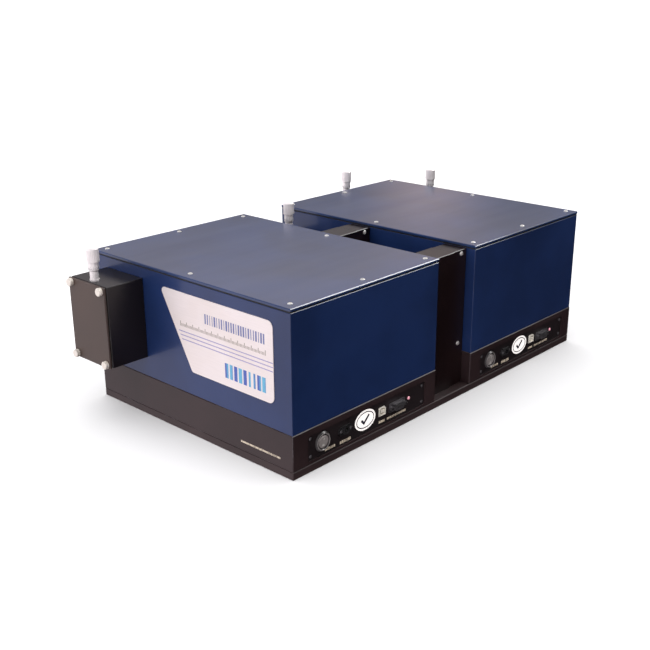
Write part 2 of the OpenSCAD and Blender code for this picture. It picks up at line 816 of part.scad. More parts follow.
module entrance_slit_box() {
  color(slit_coat) at_entrance() slit_box(entrance_depth + cover_inset, entrance_face_t);
}
module middle_slit_box() { color(slit_coat) at_middle() middle_box(); }
module side_slit_box() {
  color(slit_coat) at_side() slit_box(exit_depth + cover_inset, exit_face_t);
}
module rear_slit_box() {
  color(slit_coat) at_rear() slit_box(exit_depth + cover_inset, exit_face_t);
}
module dust_cover() { color(slit_coat) at_entrance() dust_plate(); }
module thumbscrews() {
  color(bright_steel) at_entrance() slit_corners()
    translate([0, -entrance_depth - cover_inset - gasket_t - dust_t, 0]) thumbscrew();
}
module micrometer_sleeves() {
  tall = slit_h / 2;
  color(bright_steel) {
    at_entrance() sleeve(entrance_mic, tall);
    at_middle() sleeve(-middle_mic_y, middle_h / 2);
    at_side() sleeve(exit_mic, tall);
    at_rear() sleeve(exit_mic, tall);
  }
}

// The entrance slit rests at its zero mark, the other three fully open
module entrance_thimble() { color(bright_steel) at_entrance() thimble(entrance_mic, 0); }
module entrance_wedge() { color(brass) at_entrance() wedge(entrance_mic, 0); }
module entrance_blade_left() { color(dull_steel) at_entrance() blade(entrance_mic, 0, -1); }
module entrance_blade_right() { color(dull_steel) at_entrance() blade(entrance_mic, 0, 1); }

module middle_thimble() { color(bright_steel) at_middle() thimble(-middle_mic_y, slit_travel); }
module middle_wedge() { color(brass) at_middle() wedge(-middle_mic_y, slit_travel); }
module middle_blade_left() { color(dull_steel) at_middle() blade(-middle_mic_y, slit_travel, -1); }
module middle_blade_right() { color(dull_steel) at_middle() blade(-middle_mic_y, slit_travel, 1); }

module side_thimble() { color(bright_steel) at_side() thimble(exit_mic, slit_travel); }
module side_wedge() { color(brass) at_side() wedge(exit_mic, slit_travel); }
module side_blade_left() { color(dull_steel) at_side() blade(exit_mic, slit_travel, -1); }
module side_blade_right() { color(dull_steel) at_side() blade(exit_mic, slit_travel, 1); }

module rear_thimble() { color(bright_steel) at_rear() thimble(exit_mic, slit_travel); }
module rear_wedge() { color(brass) at_rear() wedge(exit_mic, slit_travel); }
module rear_blade_left() { color(dull_steel) at_rear() blade(exit_mic, slit_travel, -1); }
module rear_blade_right() { color(dull_steel) at_rear() blade(exit_mic, slit_travel, 1); }

module front_turret() { color(dark_coat) unit(0) turret(); }
module rear_turret() { color(dark_coat) unit(1) turret(); }
module front_gratings() { color(mirror_glass) unit(0) gratings(); }
module rear_gratings() { color(mirror_glass) unit(1) gratings(); }
module front_worm_wheel() { color(brass) unit(0) worm_wheel(); }
module rear_worm_wheel() { color(brass) unit(1) worm_wheel(); }
module front_worm() { color(dull_steel) unit(0) worm(); }
module rear_worm() { color(dull_steel) unit(1) worm(); }
module turret_bushes() { color(brass) for (i = [0, 1]) unit(i) turret_bush(); }
module turret_motors() { color(dark_coat) for (i = [0, 1]) unit(i) turret_motor(); }

module concave_mirrors() {
  color(mirror_glass) for (i = [0, 1], y = [beam_y, unit_d - beam_y]) unit(i) concave_mirror(y);
}
module flat_mirrors() {
  color(mirror_glass) {
    unit(0) flat_mirror(entrance_x, beam_y, -45);
    unit(0) flat_mirror(exit_x, unit_d - beam_y, 45);
    unit(1) flat_mirror(exit_x, beam_y, -45);
  }
}
module mirror_mounts() {
  color(dark_coat) {
    for (i = [0, 1], y = [beam_y, unit_d - beam_y]) unit(i) mirror_mount(y);
    unit(0) flat_mount(entrance_x, beam_y, -45);
    unit(0) flat_mount(exit_x, unit_d - beam_y, 45);
    unit(1) flat_mount(exit_x, beam_y, -45);
  }
}
module swing_holder() { color(dark_coat) unit(1) swing_arm(); }
module swing_mirror() { color(mirror_glass) unit(1) flat_mirror(exit_x, unit_d - beam_y, 45); }

module control_panels() { color(black_coat) for (i = [0, 1]) unit(i) control_panel(); }
module switch_bezels() {
  color(dull_steel) for (i = [0, 1]) unit(i) on_panel(switch_at) switch_bezel();
}
module front_rocker() { color(rocker_grey) unit(0) on_panel(switch_at) rocker(); }
module rear_rocker() { color(rocker_grey) unit(1) on_panel(switch_at) rocker(); }
module power_jacks() { color(dark_coat) for (i = [0, 1]) unit(i) on_panel(jack_at) power_jack(); }
module usb_sockets() { color(bright_steel) for (i = [0, 1]) unit(i) on_panel(usb_at) usb_socket(); }
module serial_sockets() {
  color(dull_steel) for (i = [0, 1]) unit(i) on_panel(serial_at) serial_socket();
}
module status_lights() {
  color([0.8, 0.3, 0.35]) for (i = [0, 1]) unit(i) on_panel(light_at) status_light();
}
module circuit_boards() { color([0.05, 0.3, 0.15]) for (i = [0, 1]) unit(i) circuit_board(); }

module housing_screws() {
  color(bright_steel) {
    for (i = [0, 1]) unit(i) unit_screws();
    place() for (x = [left_post_x, right_post_x], side = [-1, 1])
      translate([x + side * (post_w / 2 - 1.2), 0, 0]) post_points() rotate([0, side * 90, 0])
        screw(3, 1.7, 1.5, 3.5);
  }
}
module panel_screws() { color(bright_steel) for (i = [0, 1]) unit(i) panel_screw_set(); }
module name_plate() { color([0.85, 0.8, 0.82]) place() maker_plate(); }

base_plate();
front_tray();
rear_tray();
optical_benches();
front_cover();
rear_cover();
front_lid();
rear_lid();
left_post();
right_post();
entrance_slit_box();
middle_slit_box();
side_slit_box();
rear_slit_box();
dust_cover();
thumbscrews();
micrometer_sleeves();
entrance_thimble();
entrance_wedge();
entrance_blade_left();
entrance_blade_right();
middle_thimble();
middle_wedge();
middle_blade_left();
middle_blade_right();
side_thimble();
side_wedge();
side_blade_left();
side_blade_right();
rear_thimble();
rear_wedge();
rear_blade_left();
rear_blade_right();
front_turret();
front_gratings();
front_worm_wheel();
front_worm();
rear_turret();
rear_gratings();
rear_worm_wheel();
rear_worm();
turret_bushes();
turret_motors();
concave_mirrors();
flat_mirrors();
mirror_mounts();
swing_holder();
swing_mirror();
control_panels();
switch_bezels();
front_rocker();
rear_rocker();
power_jacks();
usb_sockets();
serial_sockets();
status_lights();
circuit_boards();
housing_screws();
panel_screws();
name_plate();
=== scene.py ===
"""Looks of a tandem grating spectroscope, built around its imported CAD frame."""
import json
import math

import bmesh
import bpy
from mathutils import Matrix, Vector


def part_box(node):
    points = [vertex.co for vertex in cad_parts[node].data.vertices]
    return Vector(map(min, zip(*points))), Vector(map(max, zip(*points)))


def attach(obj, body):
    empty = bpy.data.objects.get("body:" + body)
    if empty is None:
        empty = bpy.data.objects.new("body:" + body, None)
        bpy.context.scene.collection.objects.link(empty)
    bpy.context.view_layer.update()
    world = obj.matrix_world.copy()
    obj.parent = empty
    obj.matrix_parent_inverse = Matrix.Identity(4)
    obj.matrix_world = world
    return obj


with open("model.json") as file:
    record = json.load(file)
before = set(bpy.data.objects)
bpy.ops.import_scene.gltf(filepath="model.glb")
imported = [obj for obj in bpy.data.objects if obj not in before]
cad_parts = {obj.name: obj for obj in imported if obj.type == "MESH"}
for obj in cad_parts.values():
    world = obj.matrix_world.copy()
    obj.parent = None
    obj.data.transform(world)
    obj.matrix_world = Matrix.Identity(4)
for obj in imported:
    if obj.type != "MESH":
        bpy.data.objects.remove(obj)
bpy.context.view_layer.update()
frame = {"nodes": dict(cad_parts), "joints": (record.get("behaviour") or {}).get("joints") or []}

MM = 0.001
UNITS = ("front", "rear")
SLITS = ("entrance", "middle", "side", "rear")

# Ink and film stand this far off the surface they are printed on
INK = 0.06 * MM
# The name plate faces the front, and the control panels face right
FRONT, RIGHT, BACK, UP = (0, -1, 0), (1, 0, 0), (0, 1, 0), (0, 0, 1)


# ---------- places taken from the frame ----------

def unit_box(node, unit):
    """Lowest and highest corner of what a node has in one of the two units."""
    low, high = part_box(unit + "_tray")
    points = [v.co for v in frame["nodes"][node].data.vertices if low.y <= v.co.y <= high.y]
    return (Vector([min(p[i] for p in points) for i in range(3)]),
            Vector([max(p[i] for p in points) for i in range(3)]))


def joint_at(name):
    """A hinge's position at rest."""
    return Vector(next(j["pos_m"] for j in frame["joints"] if j["name"] == name))


def facing(normal, across, at):
    """Frame with its Z along normal and its X along across, at a point."""
    z, x = Vector(normal), Vector(across)
    y = z.cross(x)
    return Matrix.Translation(at) @ Matrix((x, y, z)).transposed().to_4x4()


# ---------- node trees ----------

class Wire:
    """One output in a node tree. Arithmetic on it adds Math nodes."""

    def __init__(self, nodes, socket):
        self.nodes, self.socket = nodes, socket

    def math(self, operation, *others):
        return self.nodes.add("ShaderNodeMath", [self, *others], operation=operation)

    def __add__(self, other):
        return self.math("ADD", other)

    def __sub__(self, other):
        return self.math("SUBTRACT", other)

    def __mul__(self, other):
        return self.math("MULTIPLY", other)

    def __truediv__(self, other):
        return self.math("DIVIDE", other)

    def __rsub__(self, other):
        return self.nodes.add("ShaderNodeMath", [other, self], operation="SUBTRACT")

    __radd__, __rmul__ = __add__, __mul__

    def rise(self, low, high):
        """0 below low, 1 above high, smooth between them."""
        return self.nodes.add("ShaderNodeMapRange", {0: self, 1: low, 2: high},
                              interpolation_type="SMOOTHSTEP")


class Nodes:
    """A node tree that is filled by one method."""

    def __init__(self, tree):
        self.tree = tree

    def add(self, kind, values=(), output=0, stops=None, **settings):
        """Adds a node, sets it up, feeds its sockets and gives one of its outputs."""
        node = self.tree.nodes.new(kind)
        for name, value in settings.items():
            setattr(node, name, value)
        if stops:
            ramp = node.color_ramp.elements
            while len(ramp) < len(stops):
                ramp.new(1)
            for element, (place, colour) in zip(ramp, stops):
                element.position, element.color = place, (*colour, 1)
        pairs = values.items() if isinstance(values, dict) else enumerate(values)
        for key, value in pairs:
            self.feed(node.inputs[key], value)
        return Wire(self, node.outputs[output])

    def mix(self, share, a, b):
        """Colour a where share is 0, b where it is 1."""
        return self.add("ShaderNodeMix", {0: share, 6: a, 7: b}, output=2, data_type="RGBA")

    def feed(self, socket, value):
        """Links a wire to a socket, or sets the socket's own value."""
        if isinstance(value, Wire):
            self.tree.links.new(value.socket, socket)
        elif isinstance(value, tuple) and socket.type == "RGBA":
            socket.default_value = (*value, 1)
        else:
            socket.default_value = value


class Finish(Nodes):
    """A material. What varies over the surface goes in by wires, the rest by numbers."""

    def __init__(self, name, colour, roughness, metallic=0.0, **constants):
        self.material = bpy.data.materials.new(name)
        self.material.use_nodes = True
        super().__init__(self.material.node_tree)
        self.shader = self.tree.nodes["Principled BSDF"]
        self.material.diffuse_color = (*colour, 1)
        self.place = self.add("ShaderNodeTexCoord", output="Object")
        self.set("Base Color", colour)
        self.set("Roughness", roughness)
        self.set("Metallic", metallic)
        for key, value in constants.items():
            self.set(key.replace("_", " "), value)

    def set(self, key, value):
        """Sets or links one socket of the shader."""
        self.feed(self.shader.inputs[key], value)

    def stretched(self, stretch):
        """Object coordinates with each axis scaled."""
        return self.add("ShaderNodeMapping", {0: self.place, 3: stretch})

    def noise(self, scale, detail=2.0, stretch=(1, 1, 1)):
        """Cloudy pattern; scale is in features per metre."""
        values = {"Vector": self.stretched(stretch), "Scale": scale, "Detail": detail}
        return self.add("ShaderNodeTexNoise", values)

    def axis(self, index):
        """Object coordinate along X, Y or Z."""
        return self.add("ShaderNodeSeparateXYZ", [self.place], output=index)

    def bump(self, height, depth, strength=1.0):
        """Relief of a 0 to 1 height, depth metres deep."""
        values = {"Strength": strength, "Distance": depth, "Height": height}
        self.set("Normal", self.add("ShaderNodeBump", values))

    def edge_distance(self, box):
        """Distance to the nearest edge of a box, for a point on its surface."""
        gaps = []
        for i in range(3):
            middle, half = (box[0][i] + box[1][i]) / 2, (box[1][i] - box[0][i]) / 2
            off = (self.axis(i) - middle).math("ABSOLUTE")
            gaps.append((half - off).math("ABSOLUTE"))
        a, b, c = gaps
        return a.math("MINIMUM", b).math("MAXIMUM", a.math("MAXIMUM", b).math("MINIMUM", c))


def worn_and_highlit_edges(finish, boxes, colour, share, width=0.9 * MM):
    """Share of bare metal along the edges of some boxes, broken up, over a colour: edge wear,
    which also serves as painted highlight along the edges.
    """
    bare_metal_and_highlight = (0.3, 0.29, 0.31)
    # Every edge is lightened at least this much: painted highlight along the edges, as well as
    # wear
    least_wear_and_highlight = 0.02
    scratch = finish.noise(260, 4)
    patches = finish.noise(24, 3).rise(0.42, 0.62)
    for box in boxes:
        near = 1 - (finish.edge_distance(box) + scratch * width).rise(0.6 * width, 1.5 * width)
        colour = finish.mix(near * (patches * share + least_wear_and_highlight), colour, bare_metal_and_highlight)
    return colour


def powder_coat(name, colour, roughness, boxes, coat):
    """Satin powder-coated sheet: orange peel, soft cloudiness, wipe marks, and rubbed edges that
    are partly painted highlight.
    """
    finish = Finish(name, colour, roughness, Coat_Roughness=0.14, Specular_IOR_Level=0.3)
    cloud = finish.noise(9, 3)
    grain = finish.noise(1400, 2)
    paler = tuple(c * 1.2 + 0.001 for c in colour)
    darker = tuple(c * 0.82 for c in colour)
    tone = finish.mix(cloud.rise(0.3, 0.7), darker, paler)
    tone = finish.mix(grain.rise(0.45, 0.75) * 0.35, tone, paler)
    finish.set("Base Color", worn_and_highlit_edges(finish, boxes, tone, 0.07))
    wipes = finish.noise(26, 4, (1, 0.12, 1))
    finish.set("Roughness", wipes * 0.16 + (roughness - 0.08))
    finish.set("Coat Weight", coat - cloud * 0.12)
    peel = finish.noise(520, 2)
    finish.bump(peel * 0.75 + grain * 0.25, 0.05 * MM, 0.5)
    return finish.material


def anodised(name, colour, roughness, boxes=(), sheen=0.5, rubbed_and_highlit=0.2, sealed=0.0):
    """Bead-blasted black anodised aluminium, greyer where it is handled along its edges: partly
    wear, partly painted highlight.
    """
    finish = Finish(name, colour, roughness, Specular_IOR_Level=sheen, Coat_Weight=sealed,
                    Coat_Roughness=0.3)
    cloud = finish.noise(14, 4)
    blast = finish.noise(2600, 2)
    paler = tuple(c * 1.45 + 0.001 for c in colour)
    tone = finish.mix(cloud.rise(0.3, 0.75), colour, paler)
    tone = finish.mix(blast.rise(0.5, 0.8) * 0.3, tone, paler)
    finish.set("Base Color", worn_and_highlit_edges(finish, boxes, tone, rubbed_and_highlit))
    finish.set("Roughness", cloud * 0.2 + (roughness - 0.1))
    finish.bump(blast, 0.03 * MM, 0.6)
    return finish.material


def machined(name, colour, roughness, stretch, metallic=1.0, dulled=0.62):
    """Machined or plated metal with fine marks along one direction and a little tarnish."""
    finish = Finish(name, colour, roughness, metallic)
    marks = finish.noise(1500, 3, stretch)
    tarnish = finish.noise(70, 4)
    dull = tuple(c * dulled for c in colour)
    finish.set("Base Color", finish.mix(tarnish.rise(0.5, 0.85) * 0.6, colour, dull))
    finish.set("Roughness", marks * 0.18 + tarnish * 0.1 + (roughness - 0.12))
    finish.bump(marks, 0.015 * MM, 0.5)
    return finish.material


def moulded(name, colour, roughness, **constants):
    """Spark-textured moulded plastic."""
    finish = Finish(name, colour, roughness, **constants)
    texture = finish.noise(3200, 2)
    cloud = finish.noise(60, 3)
    paler = tuple(min(1, c * 1.25 + 0.01) for c in colour)
    finish.set("Base Color", finish.mix(cloud.rise(0.35, 0.7), colour, paler))
    finish.set("Roughness", texture * 0.15 + (roughness - 0.07))
    finish.bump(texture, 0.02 * MM, 0.5)
    return finish.material


def ink(name, colour, painted_glow=0.0):
    """Screen-printed ink or paper, slightly uneven; the last argument is painted light: an
    emission in the ink's own colour that brightens the paper.
    """
    finish = Finish(name, colour, 0.45, Emission_Strength=painted_glow)
    mottle = finish.noise(900, 3)
    paler = tuple(min(1, c * 1.2 + 0.02) for c in colour)
    tone = finish.mix(mottle.rise(0.4, 0.7), colour, paler)
    finish.set("Base Color", tone)
    # Painted light: the paper or ink glows in its own colour as if more brightly lit, though it is
    # no lamp
    if painted_glow:
        finish.set("Emission Color", tone)
    finish.set("Roughness", mottle * 0.15 + 0.38)
    finish.bump(mottle, 0.01 * MM, 0.4)
    return finish.material


def striped_ink(name, first, second, pitch):
    """Ink that shades from one colour to another and back along X."""
    finish = Finish(name, first, 0.42)
    across = (finish.axis(0) / pitch + finish.noise(120, 2) * 0.3).math("PINGPONG", 1.0)
    finish.set("Base Color", finish.mix(across.rise(0.2, 0.8), first, second))
    mottle = finish.noise(900, 3)
    finish.set("Roughness", mottle * 0.15 + 0.36)
    finish.bump(mottle, 0.01 * MM, 0.4)
    return finish.material


def foil():
    """Silver foil of the name plate, brushed along its length."""
    colour = (0.84, 0.75, 0.72)
    finish = Finish("silver_foil", colour, 0.42, 0.3)
    brush = finish.noise(2400, 3, (0.02, 1, 1))
    cloud = finish.noise(18, 3)
    tone = finish.mix(cloud.rise(0.3, 0.7), colour, (0.88, 0.8, 0.79))
    finish.set("Base Color", finish.mix(brush.rise(0.4, 0.7) * 0.25, tone, (0.72, 0.65, 0.64)))
    finish.set("Roughness", brush * 0.14 + 0.34)
    finish.bump(brush, 0.008 * MM, 0.4)
    return finish.material


def coated_mirror():
    """Front-surface aluminium coating with faint dust."""
    silver, dusty = (0.86, 0.88, 0.9), (0.6, 0.6, 0.6)
    finish = Finish("coated_mirror", silver, 0.03, 1.0)
    dust = finish.noise(700, 4)
    smear = finish.noise(30, 3)
    finish.set("Base Color", finish.mix(dust.rise(0.62, 0.8) * 0.4, silver, dusty))
    finish.set("Roughness", smear * 0.05 + dust.rise(0.6, 0.8) * 0.2 + 0.02)
    finish.bump(dust, 0.002 * MM, 0.2)
    return finish.material


def ruled_grating():
    """Ruled reflective film: painted rainbow bands that stand in for the light its grooves
    diffract, over very fine vertical lines.
    """
    finish = Finish("ruled_grating", (0.7, 0.7, 0.75), 0.18, 1.0)
    height = finish.axis(2)
    waver = finish.noise(22, 2)
    band = (height * 30 + waver * 1.2).math("FRACT")
    # Painted reflection: fixed bands of colour by height in place of the colours the grooves split
    # out of the light
    hues = [(0.0, (0.55, 0.5, 0.85)), (0.25, (0.45, 0.75, 0.85)), (0.5, (0.55, 0.85, 0.6)),
            (0.75, (0.9, 0.8, 0.5)), (1.0, (0.85, 0.5, 0.6))]
    painted_diffraction_colours = finish.add("ShaderNodeValToRGB", [band], stops=hues)
    finish.set("Base Color", finish.mix(0.55, (0.74, 0.74, 0.78), painted_diffraction_colours))
    lines = finish.noise(9000, 1, (1, 1, 0.01))
    finish.set("Roughness", lines * 0.15 + 0.12)
    finish.bump(lines, 0.004 * MM, 0.5)
    return finish.material


def solder_mask(boards):
    """Green board with tracks; what stands on it is black, and tall parts are blue-grey."""
    finish = Finish("solder_mask", (0.02, 0.16, 0.07), 0.35)
    track = finish.add("ShaderNodeTexBrick", {
        "Vector": finish.place, "Color1": (0.02, 0.2, 0.08), "Color2": (0.015, 0.14, 0.06),
        "Mortar": (0.1, 0.42, 0.18), "Scale": 120.0, "Mortar Size": 0.03, "Mortar Smooth": 0.2,
        "Brick Width": 0.9, "Row Height": 0.22})
    board_thick = 1.7 * MM
    above = finish.axis(2) - (boards[0].z + board_thick)
    part_black, can_grey = (0.02, 0.02, 0.022), (0.25, 0.27, 0.32)
    tone = finish.mix(above.rise(0.0, 0.3 * MM), track, part_black)
    finish.set("Base Color", finish.mix(above.rise(8.1 * MM, 8.6 * MM), tone, can_grey))
    grain = finish.noise(800, 3)
    finish.set("Roughness", grain * 0.25 + 0.25)
    finish.bump(grain, 0.02 * MM, 0.4)
    return finish.material


def lens(name, colour):
    """Clear moulded cap of a lamp, glowing faintly."""
    finish = Finish(name, colour, 0.12, Coat_Weight=0.6, Emission_Strength=0.35)
    swirl = finish.noise(900, 2)
    tone = finish.mix(swirl, colour, tuple(min(1, c * 1.4 + 0.1) for c in colour))
    finish.set("Base Color", tone)
    finish.set("Emission Color", tone)
    finish.set("Roughness", swirl * 0.12 + 0.08)
    finish.bump(swirl, 0.02 * MM, 0.3)
    return finish.material


# ---------- making pieces ----------

def add_piece(name, mesh, body):
    """Puts a finished mesh in the scene as a piece that rides on a body."""
    obj = bpy.data.objects.new(name, mesh)
    bpy.context.scene.collection.objects.link(obj)
    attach(obj, body)


def mesh_piece(name, body, build, material):
    """A piece whose mesh is filled in by build(bm)."""
    bm = bmesh.new()
    build(bm)
    bmesh.ops.recalc_face_normals(bm, faces=bm.faces)
    mesh = bpy.data.meshes.new(name)
    bm.to_mesh(mesh)
    bm.free()
    mesh.materials.append(material)
    add_piece(name, mesh, body)


def slab(bm, outline, at, thick):
    """Prism over an outline in the plane of a frame, rising thick along its Z."""
    rings = [[bm.verts.new(at @ Vector((x, y, z))) for x, y in outline] for z in (0, thick)]
    bm.faces.new(rings[0][::-1])
    bm.faces.new(rings[1])
    for i in range(len(outline)):
        j = (i + 1) % len(outline)
        bm.faces.new((rings[0][i], rings[0][j], rings[1][j], rings[1][i]))


def band(bm, outer, inner, at, thick):
    """Flat ring between two outlines of as many points each, rising thick along Z."""
    loops = [[bm.verts.new(at @ Vector((x, y, z))) for x, y in outline]
             for z in (0, thick) for outline in (outer, inner)]
    count = len(outer)
    for i in range(count):
        j = (i + 1) % count
        for a, b in ((0, 1), (1, 3), (3, 2), (2, 0)):
            bm.faces.new((loops[a][i], loops[a][j], loops[b][j], loops[b][i]))


def oval(half_wide, half_tall, steps=64):
    """Points of an ellipse about the origin."""
    turns = [2 * math.pi * i / steps for i in range(steps)]
    return [(half_wide * math.cos(t), half_tall * math.sin(t)) for t in turns]


def bar(x0, y0, x1, y1, slant=0.0):
    """Rectangle, its left side leaning by slant."""
    return [(x0 + slant, y0), (x1, y0), (x1, y1), (x0, y1)]


def turned(bm, profile, at, steps=48):
    """Closed ring of a profile of (radius, height) turned about the Z of a frame."""
    rings = []
    for i in range(steps):
        t = 2 * math.pi * i / steps
        rings.append([bm.verts.new(at @ Vector((r * math.cos(t), r * math.sin(t), z)))
                      for r, z in profile])
    for i in range(steps):
        here, after = rings[i], rings[(i + 1) % steps]
        for k in range(len(profile)):
            n = (k + 1) % len(profile)
            bm.faces.new((here[k], after[k], after[n], here[n]))


# ---------- Geometry Nodes ----------

class Pattern(Nodes):
    """A Geometry Nodes tree with named inputs that ends in one material."""

    def __init__(self, name, inputs):
        super().__init__(bpy.data.node_groups.new(name, "GeometryNodeTree"))
        face = self.tree.interface
        face.new_socket("Geometry", in_out="OUTPUT", socket_type="NodeSocketGeometry")
        for key, kind in {**inputs, "Material": "Material"}.items():
            face.new_socket(key, in_out="INPUT", socket_type="NodeSocket" + kind)
        self.entry = self.tree.nodes.new("NodeGroupInput")

    def given(self, key):
        """One of the tree's named inputs."""
        return Wire(self, self.entry.outputs[key])

    def vector(self, x, y, z):
        return self.add("ShaderNodeCombineXYZ", [x, y, z])

    def box(self, size):
        return self.add("GeometryNodeMeshCube", {"Size": size})

    def repeat(self, count, where, shape, turn=None, scale=None):
        """Puts a shape at where on each of count points; where may use self.index()."""
        points = self.add("GeometryNodeMeshLine", {"Count": count, "Offset": (0, 0, 0)})
        points = self.add("GeometryNodeSetPosition", {"Geometry": points, "Position": where})
        values = {"Points": points, "Instance": shape}
        if turn is not None:
            values["Rotation"] = turn
        if scale is not None:
            values["Scale"] = scale
        return self.add("GeometryNodeInstanceOnPoints", values)

    def index(self):
        return self.add("GeometryNodeInputIndex")

    def fifth(self, index):
        """1 on every fifth point, 0 on the others."""
        return 1 - (index.math("MODULO", 5.0) * 10).math("MINIMUM", 1.0)

    def join(self, parts):
        node = self.tree.nodes.new("GeometryNodeJoinGeometry")
        for part in parts:
            self.tree.links.new(part.socket, node.inputs[0])
        return Wire(self, node.outputs[0])

    def end(self, geometry):
        """Makes copies real, gives them the material and closes the tree."""
        solid = self.add("GeometryNodeRealizeInstances", [geometry])
        solid = self.add("GeometryNodeSetMaterial",
                         {"Geometry": solid, "Material": self.given("Material")})
        out = self.tree.nodes.new("NodeGroupOutput")
        self.tree.links.new(solid.socket, out.inputs[0])
        return self.tree


def grown(name, body, tree, at, material, **values):
    """Runs a pattern, keeps its plain mesh and puts it in place with a frame."""
    holder = bpy.data.objects.new(name + "_holder", bpy.data.meshes.new(name + "_holder"))
    bpy.context.scene.collection.objects.link(holder)
    modifier = holder.modifiers.new("pattern", "NODES")
    modifier.node_group = tree
    values = {**{k.replace("_", " "): v for k, v in values.items()}, "Material": material}
    for item in tree.interface.items_tree:
        if item.in_out == "INPUT":
            modifier[item.identifier] = values[item.name]
    graph = bpy.context.evaluated_depsgraph_get()
    mesh = bpy.data.meshes.new_from_object(holder.evaluated_get(graph))
    bpy.data.objects.remove(holder)
    mesh.transform(at)
    mesh.name = name
    add_piece(name, mesh, body)


def ring_scale_tree():
    """Divisions round a vertical barrel, every fifth one longer."""
    p = Pattern("ring_scale", {"Radius": "Float", "Count": "Int", "Length": "Float",
                               "Width": "Float", "Thick": "Float"})
    i = p.index()
    angle = i / p.given("Count") * (2 * math.pi)
    length = p.given("Length") * (p.fifth(i) * 0.7 + 1)
    x = angle.math("COSINE") * p.given("Radius")
    y = angle.math("SINE") * p.given("Radius")
    where = p.vector(x, y, length * 0.5)
    size = p.vector(p.given("Thick"), p.given("Width"), 1.0)
    return p.end(p.repeat(p.given("Count"), where, p.box(size), p.vector(0.0, 0.0, angle),
                          p.vector(1.0, 1.0, length)))


def ruler_tree():
    """Straight row of divisions that stand on a line along X, every fifth one longer."""
    p = Pattern("ruler", {"Pitch": "Float", "Count": "Int", "Length": "Float", "Width": "Float",
                          "Thick": "Float"})
    i = p.index()
    length = p.given("Length") * (p.fifth(i) * 0.8 + 1)
    where = p.vector(i * p.given("Pitch"), length * 0.5, p.given("Thick") * 0.5)
    size = p.vector(p.given("Width"), 1.0, p.given("Thick"))
    return p.end(p.repeat(p.given("Count"), where, p.box(size),
                          scale=p.vector(1.0, length, 1.0)))


def bar_row_tree():
    """Row of upright bars of uneven width along X, with its seed fixed."""
    p = Pattern("bar_row", {"Pitch": "Float", "Count": "Int", "Height": "Float", "Least": "Float",
                            "Most": "Float", "Thick": "Float", "Seed": "Int"})
    i = p.index()
    width = p.add("FunctionNodeRandomValue", {2: p.given("Least"), 3: p.given("Most"),
                                              8: p.given("Seed")}, output=1)
    where = p.vector((i + 0.5) * p.given("Pitch"), p.given("Height") * 0.5, p.given("Thick") * 0.5)
    size = p.vector(1.0, p.given("Height"), p.given("Thick"))
    return p.end(p.repeat(p.given("Count"), where, p.box(size),
                          scale=p.vector(width * p.given("Pitch"), 1.0, 1.0)))


def pin_row_tree():
    """Row of round contact pins that stand along Z, spaced along X about the origin."""
    p = Pattern("pin_row", {"Pitch": "Float", "Count": "Int", "Radius": "Float",
                            "Length": "Float"})
    start = (p.given("Count") - 1) * p.given("Pitch") * 0.5
    where = p.vector(p.index() * p.given("Pitch") - start, 0.0, p.given("Length") * 0.5)
    pin = p.add("GeometryNodeMeshCylinder", {"Vertices": 12, "Radius": p.given("Radius"),
                                             "Depth": p.given("Length")})
    tip = p.add("GeometryNodeMeshUVSphere", {"Segments": 12, "Rings": 6,
                                             "Radius": p.given("Radius")})
    raised = p.vector(0.0, 0.0, p.given("Length") * 0.5)
    tip = p.add("GeometryNodeTransform", {"Geometry": tip, "Translation": raised})
    return p.end(p.repeat(p.given("Count"), where, p.join([pin, tip])))


# ---------- CAD nodes ----------

